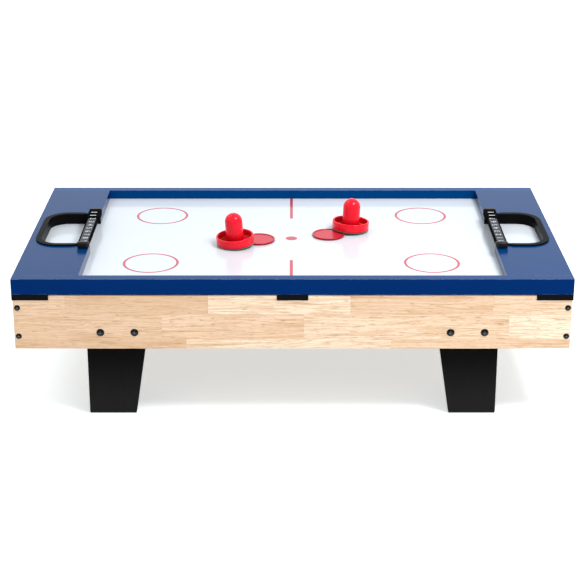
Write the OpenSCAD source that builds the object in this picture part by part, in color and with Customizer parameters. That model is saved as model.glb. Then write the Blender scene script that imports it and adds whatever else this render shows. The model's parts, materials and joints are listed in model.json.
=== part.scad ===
// Tabletop air hockey table: a wood box on four legs, a framed playfield board on top,
// a fan in the box that feeds the air holes, two score bars, two pushers and two pucks.
// Origin: centre of the footprint on the floor. +X runs along the table, +Z is up.

/* [Table] */
// Length of the table over the rails
table_l = 1016; // [1016:2:1060]
// Width of the table over the rails
table_w = 550; // [550:2:580]
// Height of the rail tops above the floor
table_h = 273; // [265:1:320]

/* [Top frame] */
// Width of the front and rear rails, seen from above
rail_w = 20.5; // [18:0.5:24]
// Height of the blue skirt
skirt_h = 29.2; // [28:0.1:30]
// Depth of the playfield below the rail tops
field_drop = 18.4; // [18:0.1:20]
// Thickness of the playfield board
board_t = 12; // [11.8:0.1:13]
// Width of each end deck
deck_w = 120; // [118:1:122]
// Pitch of the air holes
hole_pitch = 50.8; // [45:0.1:70]
// Radius of one air hole
hole_r = 0.6; // [0.5:0.1:1.5]

/* [Goal pockets] */
// Half width of the pocket opening
pocket_half_w = 87.5; // [80:0.5:90]
// Width of the liner's flange
flange_w = 11; // [8:0.5:12]
// Height of the liner's flange above the deck
flange_h = 3; // [1:0.5:4]
// Thickness of the liner's wall
liner_t = 2.5; // [2:0.5:3]

/* [Score bars] */
// Width of a score bar
bar_w = 22; // [18:1:23]
// Height of a score bar above the deck
bar_h = 9.5; // [8:0.5:10]
// Height of the bar's end caps above the deck
cap_h = 12.5; // [11:0.5:13]
// Length of the sliding cursor
cursor_l = 46; // [36:1:48]

/* [Box and legs] */
// Height of the wood box
apron_h = 105.4; // [100:0.1:115]
// Thickness of the box's boards
apron_t = 15; // [12:1:18]
// How far the box sits back from the top frame
apron_inset = 1.5; // [1:0.5:3]
// Width of a leg's front board where it leaves the box
leg_w_top = 108; // [95:1:115]
// Width of a leg's front board at the foot
leg_w_foot = 87; // [80:1:90]
// Thickness of the leg boards
leg_t = 12; // [10:1:14]
// Distance of a leg's outer edge from the table's centre
leg_x = 377.5; // [360:0.5:385]

/* [Pushers and pucks] */
// Diameter of a puck
puck_d = 63.5; // [60:0.5:66]
// Thickness of a puck
puck_t = 4; // [3:0.5:5]
// Diameter of a pusher's base
pusher_d = 73; // [70:1:76]
// Height of a pusher
pusher_h = 63; // [58:1:70]
// Diameter of a pusher's knob
knob_d = 34; // [30:1:36]

/* [Hidden] */
$fn = 48;

rail_blue = [0.06, 0.2, 0.45];
plastic_black = [0.1, 0.1, 0.11];
wood_tan = [0.93, 0.8, 0.66];
play_red = [0.88, 0.1, 0.12];
steel_grey = [0.55, 0.56, 0.58];

half_l = table_l / 2;
half_w = table_w / 2;
field_z = table_h - field_drop;
board_z = field_z - board_t;
skirt_z = table_h - skirt_h;
lip_t = 8.7;
lip_gap = 0.2;
board_half_l = half_l - lip_t - lip_gap;
board_half_w = half_w - lip_t - lip_gap;
deck_x = half_l - deck_w;
field_half_w = half_w - rail_w;

apron_z = board_z - apron_h;
box_half_l = half_l - apron_inset;
box_half_w = half_w - apron_inset;
cavity_half_l = box_half_l - apron_t;
cavity_half_w = box_half_w - apron_t;
groove_z = apron_z + 6;
groove_depth = 6;
panel_t = 3;
block_side = 24;
block_h = 72;

pocket_end_x = half_l - 23;
pocket_corner_r = 35;
flange_start_x = 406;
flange_inner_r = 22;
bar_x = 398;
bar_near_y = -113;
bar_far_y = 100;
bar_screw_ys = [bar_near_y + 6, bar_far_y - 5];
bar_cap_l = 13;
far_cap_l = 9;
bar_head_h = 4;
cursor_wall = 1.4;
cursor_gap = 0.3;
cursor_rest_y = bar_far_y - far_cap_l - cursor_gap - cursor_l / 2;
// Places of the two thumb ridges along the cursor, from its middle
ridge_ys = [-16.8, 2.6];
ridge_l = 14;
ridge_w = 3;

foot_pad_t = 2;
leg_top_z = apron_z + 66;
leg_side_w = 62;
leg_bolt_z = board_z - 73.8;
leg_bolt_xs = [350, 288];
bolt_r = 3;
bolt_head_r = 7.4;
bolt_head_h = 3.6;
screw_r = 2;
screw_head_r = 5.6;
screw_head_h = 2.6;
screw_zs = [board_z - 25.5, board_z - 81];
clip_h = 11.7;
clip_leg = 66.5;
centre_clip_w = 57;

fan_x = 0;
fan_side = 92;
fan_depth = 25;
fan_bore_r = 43;
fan_hub_r = 17;
fan_blade_r = 41.5;
fan_blades = 7;
fan_hole_xy = 41.25;
fan_z = groove_z + panel_t;
guard_z = groove_z - 2.2;

switch_x = 420;
inlet_x = 455;
inlet_z = apron_z + 50;
rocker_tilt = 9;
rocker_depth = 0.5;
lead_r = 1.6;
lead_z = fan_z + lead_r + 0.2;
switch_back = box_half_w - 16.2;
inlet_back = box_half_w - apron_t - 6.2;

pad_t = 1.6;
ring_h = 18;
ring_t = 3.5;
puck_left_xy = [-66.4, -11.5];
puck_right_xy = [71, 17];
pusher_left_xy = [-111, -38];
pusher_right_xy = [115.5, 49.6];
rest_gap = 0.3;

// ---------- shared shapes ----------

module at_sides(x, y) {
    for (sx = [-1, 1])
        for (sy = [-1, 1])
            translate([sx * x, sy * y, 0])
                children();
}

// A box between two corners.
module block(low, high) {
    translate(low)
        cube(high - low);
}

// A rectangle with its own radius at the low-x and the high-x corners.
module rounded_outline(x0, x1, half_y, r0, r1) {
    translate([x0 + r0, -half_y])
        square([x1 - x0 - r0 - r1, 2 * half_y]);
    translate([x0, -half_y + r0])
        square([r0 + 0.01, 2 * (half_y - r0)]);
    translate([x1 - r1 - 0.01, -half_y + r1])
        square([r1 + 0.01, 2 * (half_y - r1)]);
    for (s = [-1, 1]) {
        translate([x0 + r0, s * (half_y - r0)])
            circle(r = r0);
        translate([x1 - r1, s * (half_y - r1)])
            circle(r = r1);
    }
}

// The pocket opening, open towards the playfield, grown outwards by g.
module pocket_outline(g) {
    difference() {
        rounded_outline(deck_x - 60, pocket_end_x + g, pocket_half_w + g, 1, pocket_corner_r + g);
        translate([deck_x - 80, -half_w])
            square([80, table_w]);
    }
}

// Puts a right-hand end piece at the left end as well.
module at_end(side) {
    if (side < 0)
        mirror([1, 0, 0])
            children();
    else
        children();
}

// A screw along -Z with a dome head whose underside is at z = 0.
module dome_screw(r, length, head_r, head_h) {
    ball_r = (head_r * head_r + head_h * head_h) / (2 * head_h);
    difference() {
        union() {
            translate([0, 0, -length])
                cylinder(r = r, h = length + 0.5);
            intersection() {
                translate([0, 0, head_h - ball_r])
                    sphere(r = ball_r);
                cylinder(r = head_r + 1, h = head_h);
            }
        }
        for (a = [0, 90])
            rotate(a)
                translate([-head_r * 0.45, -head_r * 0.09, head_h - 1.1])
                    cube([head_r * 0.9, head_r * 0.18, 2]);
    }
}

// A round lead swept along points that lie in one vertical plane or turn gently.
function ring_at(p, dir, r) =
    let (flat = abs(dir[2]) > 0.99 ? [1, 0, 0] : [-dir[1], dir[0], 0] / norm([dir[0], dir[1]]),
         up = cross(dir, flat))
    [for (k = [0:7]) p + r * cos(45 * k) * flat + r * sin(45 * k) * up];

function unit(v) = v / norm(v);

module lead(points, r) {
    n = len(points);
    dirs = [for (i = [0:n - 1])
        unit(points[min(i + 1, n - 1)] - points[max(i - 1, 0)])];
    rings = [for (i = [0:n - 1]) each ring_at(points[i], dirs[i], r)];
    sides = [for (i = [0:n - 2])
        for (k = [0:7])
            [8 * i + k, 8 * i + (k + 1) % 8, 8 * (i + 1) + (k + 1) % 8, 8 * (i + 1) + k]];
    ends = [[for (k = [7:-1:0]) k], [for (k = [0:7]) 8 * (n - 1) + k]];
    polyhedron(points = rings, faces = concat(sides, ends), convexity = 4);
}

// ---------- box ----------

// A long board of the box along X, centred at y, with the groove for the bottom panel.
module long_apron(side) {
    inner = side * cavity_half_w;
    outer = side * box_half_w;
    groove = side * (cavity_half_w + groove_depth);
    difference() {
        block([-box_half_l, min(inner, outer), apron_z], [box_half_l, max(inner, outer), board_z]);
        block([-cavity_half_l - groove_depth, min(inner, groove) - 0.01, groove_z],
              [cavity_half_l + groove_depth, max(inner, groove) + 0.01, groove_z + panel_t]);
        for (x = leg_bolt_xs)
            for (s = [-1, 1])
                translate([s * x, 0, leg_bolt_z])
                    rotate([90, 0, 0])
                        cylinder(r = bolt_r + 0.05, h = table_w, center = true);
        for (z = screw_zs)
            for (s = [-1, 1])
                translate([s * (box_half_l - apron_t / 2), 0, z])
                    rotate([90, 0, 0])
                        cylinder(r = screw_r, h = table_w, center = true);
    }
}

module end_apron(side) {
    inner = side * cavity_half_l;
    outer = side * box_half_l;
    groove = side * (cavity_half_l + groove_depth);
    difference() {
        block([min(inner, outer), -cavity_half_w, apron_z], [max(inner, outer), cavity_half_w, board_z]);
        block([min(inner, groove) - 0.01, -table_w, groove_z],
              [max(inner, groove) + 0.01, table_w, groove_z + panel_t]);
        for (z = screw_zs)
            for (s = [-1, 1])
                translate([side * (box_half_l - apron_t / 2), s * cavity_half_w, z])
                    rotate([90, 0, 0])
                        cylinder(r = screw_r, h = 60, center = true);
    }
}

module apron_front() {
    color(wood_tan)
        long_apron(-1);
}

module apron_rear() {
    color(wood_tan)
        difference() {
            long_apron(1);
            translate([switch_x, box_half_w, inlet_z])
                cube([13.4, 60, 19.4], center = true);
            translate([inlet_x, box_half_w, inlet_z])
                rotate([90, 0, 0])
                    cylinder(r = 4, h = 60, center = true);
        }
}

module apron_left() {
    color(wood_tan)
        end_apron(-1);
}

module apron_right() {
    color(wood_tan)
        end_apron(1);
}

module corner_block(sx, sy) {
    color(wood_tan)
        translate([sx * (cavity_half_l - block_side / 2), sy * (cavity_half_w - block_side / 2),
                   board_z - block_h / 2 - 12])
            cube([block_side, block_side, block_h], center = true);
}

// The panel that closes the box, notched for the legs and holed for the fan.
module bottom_panel() {
    reach = groove_depth - 0.5;
    color([0.72, 0.55, 0.4])
        difference() {
            block([-cavity_half_l - reach, -cavity_half_w - reach, groove_z],
                  [cavity_half_l + reach, cavity_half_w + reach, groove_z + panel_t]);
            for (sx = [-1, 1])
                for (sy = [-1, 1])
                    translate([sx * (leg_x - leg_w_top / 2), sy * (cavity_half_w - leg_side_w / 2 + 10),
                               groove_z + panel_t / 2])
                        cube([leg_w_top + 8, leg_side_w + 22, panel_t + 2], center = true);
            translate([fan_x, 0, groove_z - 1])
                cylinder(r = fan_bore_r, h = panel_t + 2);
            translate([fan_x, 0, groove_z - 1])
                at_sides(fan_hole_xy, fan_hole_xy)
                    cylinder(r = 2.1, h = panel_t + 2);
        }
}

// ---------- legs ----------

// The front board: vertical outer edge, inner edge leaning in towards the foot.
module leg_board(sx, sy) {
    w_head = leg_w_top + (leg_w_top - leg_w_foot) * (leg_top_z - apron_z) / (apron_z - foot_pad_t);
    face = sy * cavity_half_w;
    color(plastic_black)
        difference() {
            translate([0, face + (sy > 0 ? 0 : leg_t), 0])
                rotate([90, 0, 0])
                    linear_extrude(leg_t)
                        polygon([[sx * leg_x, foot_pad_t], [sx * leg_x, leg_top_z],
                                 [sx * (leg_x - w_head), leg_top_z],
                                 [sx * (leg_x - leg_w_foot), foot_pad_t]]);
            for (x = leg_bolt_xs)
                translate([sx * x, 0, leg_bolt_z])
                    rotate([90, 0, 0])
                        cylinder(r = bolt_r + 0.05, h = table_w, center = true);
        }
}

// The side board, glued behind the front board along its outer edge.
module leg_side(sx, sy) {
    near = sy * (cavity_half_w - leg_t);
    far_foot = sy * (cavity_half_w - leg_side_w * 0.8);
    far_head = sy * (cavity_half_w - leg_side_w);
    color(plastic_black)
        translate([sx > 0 ? leg_x - leg_t : -leg_x, 0, 0])
            rotate([90, 0, 90])
                linear_extrude(leg_t)
                    polygon([[near, foot_pad_t], [far_foot, foot_pad_t],
                             [far_head, leg_top_z], [near, leg_top_z]]);
}

module foot_pads() {
    color(plastic_black)
        for (sx = [-1, 1])
            for (sy = [-1, 1])
                translate([sx * (leg_x - 0.5), sy * (cavity_half_w - 0.5), 0])
                    linear_extrude(foot_pad_t)
                        polygon([[0, 0], [-sx * (leg_w_foot - 1), 0],
                                 [-sx * (leg_w_foot - 1), -sy * (leg_t - 1)],
                                 [-sx * (leg_t - 1), -sy * (leg_t - 1)],
                                 [-sx * (leg_t - 1), -sy * (leg_side_w * 0.8 - 1)],
                                 [0, -sy * (leg_side_w * 0.8 - 1)]]);
}

module each_leg_bolt() {
    for (sx = [-1, 1])
        for (x = leg_bolt_xs)
            for (turn = [0, 180])
                rotate(turn)
                    translate([sx * x, -box_half_w, leg_bolt_z])
                        rotate([90, 0, 0])
                            children();
}

module leg_bolts() {
    color(plastic_black)
        each_leg_bolt()
            dome_screw(bolt_r, apron_t + leg_t + 8, bolt_head_r, bolt_head_h);
}

module leg_nuts() {
    color(steel_grey)
        each_leg_bolt()
            translate([0, 0, -apron_t - leg_t - 5])
                difference() {
                    cylinder(r = 6, h = 5, $fn = 6);
                    translate([0, 0, -1])
                        cylinder(r = bolt_r, h = 7);
                }
}

module apron_screws() {
    color(plastic_black)
        for (z = screw_zs)
            for (turn = [0, 180])
                rotate(turn)
                    for (s = [-1, 1])
                        translate([s * (box_half_l - apron_t / 2), -box_half_w, z])
                            rotate([90, 0, 0])
                                dome_screw(screw_r, apron_t + 22, screw_head_r, screw_head_h);
}

// ---------- clips ----------

// An angle strip over the joint between top and box, with a tongue in the gap.
module corner_clip(sx, sy) {
    color(plastic_black)
        mirror([sx > 0 ? 0 : 1, 0, 0])
            mirror([0, sy > 0 ? 0 : 1, 0]) {
                block([half_l - clip_leg, box_half_w, skirt_z - clip_h],
                      [half_l, half_w, skirt_z]);
                block([box_half_l, half_w - clip_leg, skirt_z - clip_h],
                      [half_l, box_half_w, skirt_z]);
                block([half_l - clip_leg, board_half_w + 0.5, board_z],
                      [box_half_l, box_half_w, skirt_z]);
            }
}

module centre_clip(side) {
    color(plastic_black)
        mirror([0, side > 0 ? 0 : 1, 0]) {
            block([-centre_clip_w / 2, box_half_w, skirt_z - clip_h],
                  [centre_clip_w / 2, half_w, skirt_z]);
            block([-centre_clip_w / 2, board_half_w + 0.5, board_z],
                  [centre_clip_w / 2, box_half_w, skirt_z]);
        }
}

// ---------- top ----------

module playfield_board() {
    columns = floor((deck_x - 12) / hole_pitch);
    rows = floor((field_half_w - 12) / hole_pitch);
    color("white")
        difference() {
            block([-board_half_l, -board_half_w, board_z], [board_half_l, board_half_w, field_z]);
            for (i = [-columns:columns])
                for (j = [-rows:rows])
                    translate([i * hole_pitch, j * hole_pitch, board_z - 1])
                        cylinder(r = hole_r, h = board_t + 2);
            at_frame_screws()
                frame_screw_shape();
        }
}

// A rail: skirt outside, board in the rebate inside, rebate closed at both ends.
module rail(side) {
    color(rail_blue)
        difference() {
            mirror([0, side > 0 ? 0 : 1, 0])
                difference() {
                    block([-half_l, field_half_w, skirt_z], [half_l, half_w, table_h]);
                    block([-half_l + lip_t, field_half_w - 1, skirt_z - 1],
                          [half_l - lip_t, half_w - lip_t, field_z]);
                }
            at_frame_screws()
                frame_screw_shape();
        }
}

module deck(side) {
    color(rail_blue)
        at_end(side)
            difference() {
                union() {
                    block([deck_x, -field_half_w, field_z], [half_l, field_half_w, table_h]);
                    block([half_l - lip_t, -field_half_w, skirt_z], [half_l, field_half_w, field_z]);
                }
                translate([0, 0, field_z - 0.5])
                    linear_extrude(field_drop + 1)
                        pocket_outline(liner_t);
                for (y = bar_screw_ys)
                    translate([bar_x, y, table_h - 12])
                        cylinder(r = 1.5, h = 20);
                at_frame_screws()
                    frame_screw_shape();
            }
}

// Places of the countersunk screws that come up through the board.
module at_frame_screws() {
    for (sx = [-1, 1])
        for (sy = [-1, 1]) {
            for (x = [90, 270, 450])
                translate([sx * x, sy * (field_half_w + 6), board_z])
                    children();
            for (xy = [[deck_x + 12, 150], [half_l - 22, 150], [half_l - 60, 220]])
                translate([sx * xy[0], sy * xy[1], board_z])
                    children();
        }
}

module frame_screw_shape() {
    cylinder(r = 3, h = 2);
    cylinder(r = 1.5, h = 20);
}

module frame_screws() {
    color(steel_grey)
        at_frame_screws()
            frame_screw_shape();
}

module pocket_liner(side) {
    color(plastic_black)
        at_end(side) {
            translate([0, 0, field_z])
                linear_extrude(field_drop)
                    difference() {
                        pocket_outline(liner_t);
                        pocket_outline(0);
                    }
            translate([0, 0, table_h])
                linear_extrude(flange_h)
                    difference() {
                        rounded_outline(flange_start_x, pocket_end_x + flange_w,
                                        pocket_half_w + flange_w, flange_inner_r,
                                        pocket_corner_r + flange_w);
                        pocket_outline(0);
                        translate([deck_x - 20, -half_w])
                            square([bar_x + bar_w / 2 + 2.2 - deck_x + 20, table_w]);
                    }
        }
}

// ---------- score bars ----------

// The bar with its two end caps; the cursor runs between them.
module score_bar(side) {
    cap_w = bar_w + 2;
    run_near = bar_near_y + bar_cap_l;
    run_far = bar_far_y - far_cap_l;
    color(plastic_black)
        at_end(side)
            difference() {
                union() {
                    block([bar_x - bar_w / 2 + 2, run_near - 1, table_h],
                          [bar_x + bar_w / 2 - 2, run_far + 1, table_h + bar_h - bar_head_h]);
                    block([bar_x - bar_w / 2, run_near - 1, table_h + bar_h - bar_head_h],
                          [bar_x + bar_w / 2, run_far + 1, table_h + bar_h]);
                    translate([bar_x, run_near, table_h])
                        mirror([0, 1, 0])
                            end_cap(cap_w, bar_cap_l);
                    translate([bar_x, run_far, table_h])
                        end_cap(cap_w, far_cap_l);
                }
                for (y = bar_screw_ys)
                    translate([bar_x, y, table_h - 1]) {
                        cylinder(r = 1.5, h = cap_h + 2);
                        translate([0, 0, cap_h - 2])
                            cylinder(r = 3.2, h = 5);
                    }
            }
}

// A block with rounded outer corners, growing along +Y from the origin.
module end_cap(w, length) {
    r = min(w / 2 - 1, length - 1);
    linear_extrude(cap_h)
        intersection() {
            union() {
                translate([-w / 2, 0])
                    square([w, length - r]);
                translate([-w / 2 + r, 0])
                    square([w - 2 * r, length]);
                for (s = [-1, 1])
                    translate([s * (w / 2 - r), length - r])
                        circle(r = r);
            }
            translate([-w / 2, 0])
                square([w, length]);
        }
}

module score_bar_screws() {
    color(steel_grey)
        for (side = [-1, 1])
            for (y = bar_screw_ys)
                translate([side * bar_x, y, table_h - 9]) {
                    cylinder(r = 1.5, h = cap_h + 7.5);
                    translate([0, 0, cap_h + 7])
                        cylinder(r = 3, h = 1.8);
                }
}

// A saddle over the bar: two thumb ridges on top, and two hooks under the bar's edges.
module score_cursor(side) {
    inner = bar_w / 2 + cursor_gap;
    outer = inner + cursor_wall;
    base = table_h + cursor_gap;
    top = table_h + bar_h + cursor_gap;
    color(plastic_black)
        at_end(side)
            translate([bar_x, cursor_rest_y, 0]) {
                for (s = [-1, 1]) {
                    block([min(s * inner, s * outer), -cursor_l / 2, base],
                          [max(s * inner, s * outer), cursor_l / 2, top + 1.6]);
                    block([min(s * (inner - 1.6), s * outer), -cursor_l / 2, base],
                          [max(s * (inner - 1.6), s * outer), cursor_l / 2,
                           table_h + bar_h - bar_head_h - cursor_gap]);
                }
                block([-outer, -cursor_l / 2, top], [outer, cursor_l / 2, top + 1.6]);
                for (y = ridge_ys)
                    block([-ridge_l / 2, y - ridge_w / 2, top + 1.5],
                          [ridge_l / 2, y + ridge_w / 2, top + 2.8]);
            }
}

// ---------- fan ----------

// The square fan frame with its motor cup on four struts.
module fan_frame() {
    color(plastic_black)
        translate([fan_x, 0, fan_z])
            difference() {
                union() {
                    difference() {
                        translate([-fan_side / 2, -fan_side / 2, 0])
                            cube([fan_side, fan_side, fan_depth]);
                        translate([0, 0, -1])
                            cylinder(r = fan_bore_r, h = fan_depth + 2);
                    }
                    cylinder(r = 15, h = 3);
                    cylinder(r = 4, h = 9);
                    for (a = [45:90:315])
                        rotate(a)
                            translate([12, -1.5, 0])
                                cube([fan_bore_r - 11, 3, 3]);
                }
                translate([0, 0, 3])
                    cylinder(r = 1.53, h = 10);
                translate([0, 0, -1])
                    at_sides(fan_hole_xy, fan_hole_xy)
                        cylinder(r = 2.1, h = fan_depth + 2);
            }
}

// Hub cup, shaft and pitched blades.
module fan_rotor() {
    hub_z = 5;
    hub_h = 17;
    color([0.16, 0.16, 0.17])
        translate([fan_x, 0, fan_z]) {
            difference() {
                translate([0, 0, hub_z])
                    cylinder(r = fan_hub_r, h = hub_h);
                translate([0, 0, hub_z - 1])
                    cylinder(r = fan_hub_r - 2, h = hub_h - 1);
            }
            translate([0, 0, 3.5])
                cylinder(r = 1.5, h = hub_z + hub_h - 4.5);
            for (i = [0:fan_blades - 1])
                rotate(360 / fan_blades * i)
                    intersection() {
                        translate([fan_hub_r - 1.5, 0, hub_z + hub_h / 2])
                            rotate([38, 0, 0])
                                translate([0, -12, -1])
                                    cube([fan_blade_r, 24, 2]);
                        translate([0, 0, hub_z + 1])
                            difference() {
                                cylinder(r = fan_blade_r, h = hub_h - 2);
                                translate([0, 0, -1])
                                    cylinder(r = fan_hub_r - 0.5, h = hub_h);
                            }
                    }
        }
}

// Finger guard under the intake: three rings on a cross, with four screw eyes.
module fan_guard() {
    color(steel_grey)
        translate([fan_x, 0, guard_z])
            difference() {
                union() {
                    for (r = [14, 26, 38])
                        difference() {
                            cylinder(r = r + 1, h = 2);
                            translate([0, 0, -1])
                                cylinder(r = r - 1, h = 4);
                        }
                    for (a = [45, 135])
                        rotate(a)
                            translate([-fan_hole_xy * sqrt(2), -1, 0])
                                cube([2 * fan_hole_xy * sqrt(2), 2, 2]);
                    at_sides(fan_hole_xy, fan_hole_xy)
                        cylinder(r = 4.5, h = 2.2);
                }
                translate([0, 0, -1])
                    at_sides(fan_hole_xy, fan_hole_xy)
                        cylinder(r = 2, h = 5);
            }
}

module fan_screws() {
    color(steel_grey)
        translate([fan_x, 0, guard_z])
            at_sides(fan_hole_xy, fan_hole_xy)
                rotate([180, 0, 0])
                    dome_screw(1.9, fan_depth + panel_t + 7, 3.6, 2);
}

module fan_nuts() {
    color(steel_grey)
        translate([fan_x, 0, fan_z + fan_depth])
            at_sides(fan_hole_xy, fan_hole_xy)
                difference() {
                    cylinder(r = 3.9, h = 3, $fn = 6);
                    translate([0, 0, -1])
                        cylinder(r = 1.9, h = 5);
                }
}

// ---------- electrics ----------

module switch_housing() {
    face = box_half_w;
    color(plastic_black)
        translate([switch_x, 0, inlet_z])
            difference() {
                union() {
                    block([-7.5, face, -10.5], [7.5, face + 1.8, 10.5]);
                    block([-6.5, face - 16, -9.5], [6.5, face + 0.5, 9.5]);
                }
                block([-5, face - 7, -7.5], [5, face + 3, 7.5]);
                translate([0, face - rocker_depth, 0])
                    rotate([0, 90, 0])
                        cylinder(r = 1.05, h = 12, center = true);
            }
}

// The rocker turns about a pin across its middle.
module switch_rocker() {
    color(play_red)
        translate([switch_x, box_half_w - rocker_depth, inlet_z])
            rotate([rocker_tilt, 0, 0])
                rotate([0, 90, 0]) {
                    translate([0, 0, -4.7])
                        linear_extrude(9.4)
                            polygon([[-6.6, -1.5], [-6.6, 2], [0, 3.2], [6.6, 2],
                                     [6.6, -1.5], [0, -5]]);
                    cylinder(r = 1, h = 11.6, center = true);
                }
}

module dc_inlet() {
    color(plastic_black)
        translate([inlet_x, box_half_w, inlet_z])
            rotate([-90, 0, 0]) {
                difference() {
                    union() {
                        cylinder(r = 6, h = 2);
                        translate([0, 0, -apron_t - 6])
                            cylinder(r = 3.9, h = apron_t + 7);
                    }
                    translate([0, 0, -9])
                        cylinder(r = 2.8, h = 20);
                }
                translate([0, 0, -10])
                    cylinder(r = 1, h = 9);
            }
}

module dc_inlet_nut() {
    color(steel_grey)
        translate([inlet_x, cavity_half_w, inlet_z])
            rotate([90, 0, 0])
                difference() {
                    cylinder(r = 6.5, h = 3, $fn = 6);
                    translate([0, 0, -1])
                        cylinder(r = 3.95, h = 5);
                }
}

// Two leads on the panel: from the fan to the switch, and from the switch to the inlet.
module fan_lead() {
    color(plastic_black)
        lead([[fan_x + fan_side / 2 + 1, 30, lead_z + 5], [fan_x + 60, 34, lead_z + 3],
              [fan_x + 90, 44, lead_z], [200, 110, lead_z], [240, 140, lead_z],
              [380, 160, lead_z], [405, 175, lead_z + 2], [417, 200, lead_z + 16],
              [switch_x, 228, inlet_z - 6], [switch_x, switch_back, inlet_z - 5]], lead_r);
}

module switch_lead() {
    color(plastic_black)
        lead([[switch_x, switch_back, inlet_z + 5], [switch_x + 2, 246, inlet_z + 5],
              [switch_x + 9, 238, inlet_z + 4], [inlet_x - 9, 236, inlet_z + 1],
              [inlet_x - 2, 242, inlet_z], [inlet_x, inlet_back, inlet_z]], lead_r);
}

// ---------- pushers and pucks ----------

// Tips a pusher about its low edge so that its other edge rests on the puck.
module tipped(pusher_xy, puck_xy) {
    to_puck = puck_xy - pusher_xy;
    reach = norm(to_puck) - puck_d / 2 + pusher_d / 2;
    tilt = atan((puck_t + rest_gap) / reach);
    translate([pusher_xy[0], pusher_xy[1], field_z + 0.05])
        rotate(atan2(to_puck[1], to_puck[0]))
            translate([-pusher_d / 2, 0, 0])
                rotate([0, -tilt, 0])
                    translate([pusher_d / 2, 0, 0])
                        children();
}

// One hollow moulding: ring wall, dish floor and round-topped knob.
module pusher_shape() {
    r = pusher_d / 2;
    k = knob_d / 2;
    wall = 2.5;
    floor_z = pad_t + 1;
    difference() {
        union() {
            translate([0, 0, pad_t])
                cylinder(r = r, h = ring_h - pad_t);
            translate([0, 0, floor_z])
                cylinder(r = k, h = pusher_h - k - floor_z);
            translate([0, 0, pusher_h - k])
                sphere(r = k);
        }
        difference() {
            translate([0, 0, floor_z + 2])
                cylinder(r = r - ring_t, h = ring_h);
            cylinder(r = k, h = pusher_h);
        }
        translate([0, 0, pad_t - 1])
            cylinder(r = k - wall, h = pusher_h - k - pad_t + 1);
        translate([0, 0, pusher_h - k])
            sphere(r = k - wall);
    }
}

module pusher_pad_shape() {
    difference() {
        cylinder(r = pusher_d / 2, h = pad_t);
        translate([0, 0, -1])
            cylinder(r = knob_d / 2 - 2.5, h = pad_t + 2);
    }
}

module puck(xy) {
    rim = 3;
    color(play_red)
        translate([xy[0], xy[1], field_z])
            difference() {
                cylinder(r = puck_d / 2, h = puck_t);
                translate([0, 0, puck_t - 0.8])
                    cylinder(r = puck_d / 2 - rim, h = 2);
                translate([0, 0, -1.2])
                    cylinder(r = puck_d / 2 - rim, h = 2);
            }
}

apron_front();
apron_rear();
apron_left();
apron_right();
corner_block(-1, -1);  // corner_block_front_left
corner_block(1, -1);  // corner_block_front_right
corner_block(-1, 1);  // corner_block_rear_left
corner_block(1, 1);  // corner_block_rear_right
leg_board(-1, -1);  // leg_front_left
leg_board(1, -1);  // leg_front_right
leg_board(-1, 1);  // leg_rear_left
leg_board(1, 1);  // leg_rear_right
leg_side(-1, -1);  // leg_side_front_left
leg_side(1, -1);  // leg_side_front_right
leg_side(-1, 1);  // leg_side_rear_left
leg_side(1, 1);  // leg_side_rear_right
foot_pads();
leg_bolts();
leg_nuts();
apron_screws();
corner_clip(-1, -1);  // corner_clip_front_left
corner_clip(1, -1);  // corner_clip_front_right
corner_clip(-1, 1);  // corner_clip_rear_left
corner_clip(1, 1);  // corner_clip_rear_right
centre_clip(-1);  // centre_clip_front
centre_clip(1);  // centre_clip_rear
bottom_panel();
playfield_board();
rail(-1);  // rail_front
rail(1);  // rail_rear
deck(-1);  // deck_left
deck(1);  // deck_right
frame_screws();
pocket_liner(-1);  // pocket_liner_left
pocket_liner(1);  // pocket_liner_right
score_bar(-1);  // score_bar_left
score_bar(1);  // score_bar_right
score_cursor(-1);  // score_cursor_left
score_cursor(1);  // score_cursor_right
score_bar_screws();
fan_frame();
fan_rotor();
fan_guard();
fan_screws();
fan_nuts();
switch_housing();
switch_rocker();
dc_inlet();
dc_inlet_nut();
fan_lead();
switch_lead();
color(play_red) tipped(pusher_left_xy, puck_left_xy) pusher_shape();  // pusher_left
color(play_red) tipped(pusher_right_xy, puck_right_xy) pusher_shape();  // pusher_right
color("darkgreen") tipped(pusher_left_xy, puck_left_xy) pusher_pad_shape();  // pusher_pad_left
color("darkgreen") tipped(pusher_right_xy, puck_right_xy) pusher_pad_shape();  // pusher_pad_right
puck(puck_left_xy);  // puck_left
puck(puck_right_xy);  // puck_right
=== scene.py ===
"""Looks of the tabletop air hockey table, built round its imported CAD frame.

Metres, +X along the table, +Y to the back, +Z up, origin on the floor under the table's centre.
"""
import json
import math

import bmesh
import bpy
import numpy as np
from mathutils import Matrix, Vector


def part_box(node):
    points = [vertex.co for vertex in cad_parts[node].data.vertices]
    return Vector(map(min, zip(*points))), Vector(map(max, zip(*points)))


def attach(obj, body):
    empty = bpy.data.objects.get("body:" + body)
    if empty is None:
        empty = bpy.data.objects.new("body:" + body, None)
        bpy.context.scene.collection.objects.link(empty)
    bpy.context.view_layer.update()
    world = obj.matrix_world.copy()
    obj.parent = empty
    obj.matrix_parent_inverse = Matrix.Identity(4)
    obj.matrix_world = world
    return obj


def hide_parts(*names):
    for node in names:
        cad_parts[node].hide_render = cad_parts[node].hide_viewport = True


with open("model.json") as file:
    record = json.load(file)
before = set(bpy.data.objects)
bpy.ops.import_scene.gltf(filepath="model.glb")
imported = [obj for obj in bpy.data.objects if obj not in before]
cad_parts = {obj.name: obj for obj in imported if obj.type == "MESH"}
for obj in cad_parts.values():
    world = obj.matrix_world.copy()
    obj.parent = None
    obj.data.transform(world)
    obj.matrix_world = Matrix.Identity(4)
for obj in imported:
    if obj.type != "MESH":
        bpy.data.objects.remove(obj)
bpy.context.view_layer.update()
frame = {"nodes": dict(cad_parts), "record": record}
nodes = frame["nodes"]
MM = 0.001

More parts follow.
